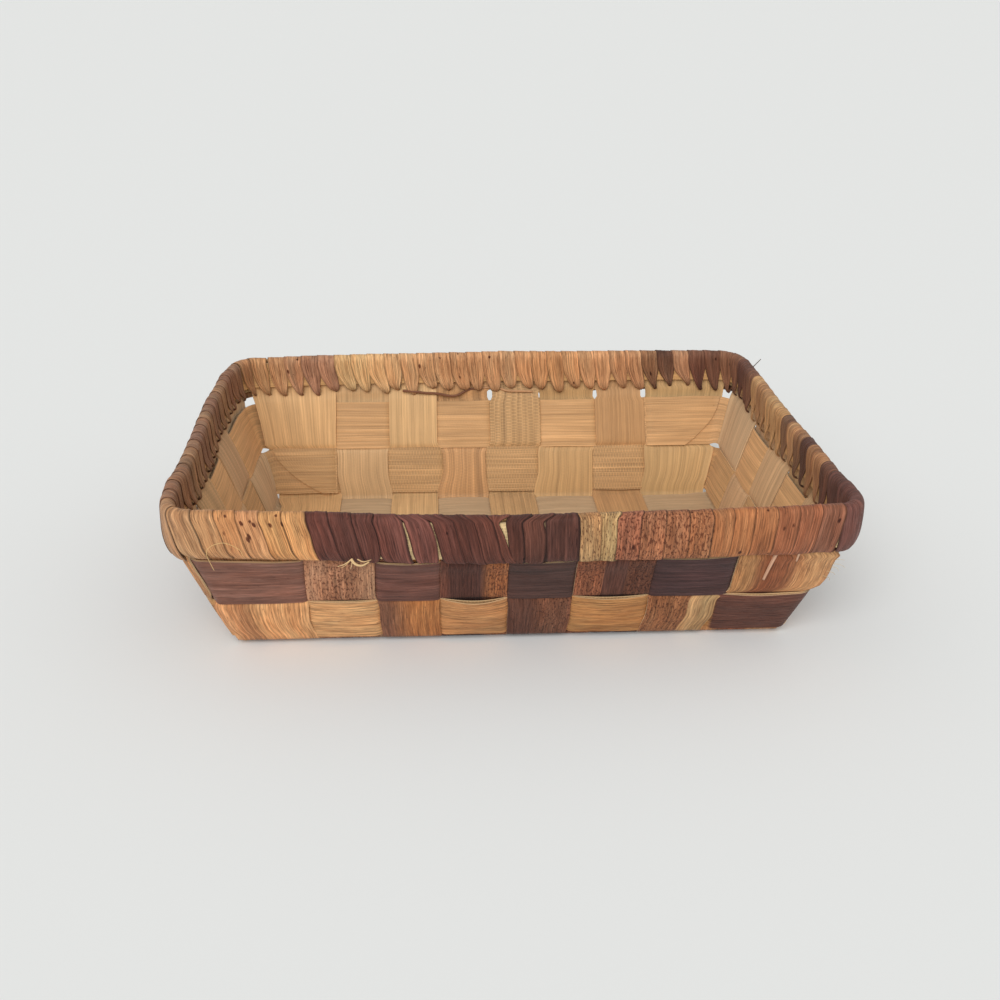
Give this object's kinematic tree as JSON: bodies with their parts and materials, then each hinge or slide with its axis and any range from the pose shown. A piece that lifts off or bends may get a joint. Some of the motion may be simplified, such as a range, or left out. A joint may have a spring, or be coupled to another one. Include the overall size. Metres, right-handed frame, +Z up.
{
  "type": "chip basket",
  "caption": "Low rectangular chip basket plaited from wide bark strips, with flared walls and a hooped rim lashed with bark.",
  "frame": {"origin": "centre of the basket's underside, on the surface that it stands on", "axes": "+X along the length of the basket, to the right in the picture; +Y to its back; +Z up out of the open top"},
  "size_m": [0.3322, 0.2282, 0.088],
  "materials": {
    "bark_brown": "dry satin bark, fine lengthways grain",
    "bark_dark": "dry satin bark, dark brown",
    "bark_tan": "dry satin bark, tan",
    "lining": "pale silky inner bark, ladder grain",
    "cane": "matt split cane",
    "lashing_dark": "dry satin bark, dark mauve brown",
    "lashing_tan": "dry satin bark, orange tan, dark specks",
    "lashing_gold": "dry satin bark, golden, brown specks"
  },
  "bodies": {
    "root": {"cross_strip_1_bark": "bark_brown", "cross_strip_1_lining": "lining", "cross_strip_2_bark": "bark_brown", "cross_strip_2_lining": "lining", "cross_strip_3_bark": "bark_brown", "cross_strip_3_lining": "lining", "cross_strip_4_bark": "bark_brown", "cross_strip_4_lining": "lining", "cross_strip_5_bark": "bark_brown", "cross_strip_5_lining": "lining", "cross_strip_6_bark": "bark_brown", "cross_strip_6_lining": "lining", "cross_strip_7_bark": "bark_brown", "cross_strip_7_lining": "lining", "cross_strip_8_bark": "bark_brown", "cross_strip_8_lining": "lining", "lashing_back_1": "lashing_dark", "lashing_back_2": "lashing_tan", "lashing_back_3": "lashing_tan", "lashing_back_4": "lashing_gold", "lashing_back_5": "lashing_dark", "lashing_back_6": "lashing_tan", "lashing_back_7": "lashing_dark", "lashing_front_1": "lashing_tan", "lashing_front_2": "lashing_dark", "lashing_front_3": "lashing_dark", "lashing_front_4": "lashing_gold", "lashing_front_5": "lashing_tan", "lashing_front_6": "lashing_tan", "lashing_left_1": "lashing_dark", "lashing_left_2": "lashing_dark", "lashing_left_3": "lashing_tan", "lashing_right_1": "lashing_dark", "lashing_right_2": "lashing_dark", "lashing_right_3": "lashing_tan", "lashing_right_4": "lashing_gold", "long_strip_1_bark": "bark_brown", "long_strip_1_lining": "lining", "long_strip_2_bark": "bark_brown", "long_strip_2_lining": "lining", "long_strip_3_bark": "bark_brown", "long_strip_3_lining": "lining", "long_strip_4_bark": "bark_brown", "long_strip_4_lining": "lining", "long_strip_5_bark": "bark_brown", "long_strip_5_lining": "lining", "lower_weaver_bark": "bark_tan", "lower_weaver_lining": "lining", "rim_back_stick": "cane", "rim_inner_hoop": "cane", "rim_outer_hoop": "cane", "rim_top_roll": "cane", "upper_weaver_bark": "bark_dark", "upper_weaver_lining": "lining"}
  },
  "joints": []
}
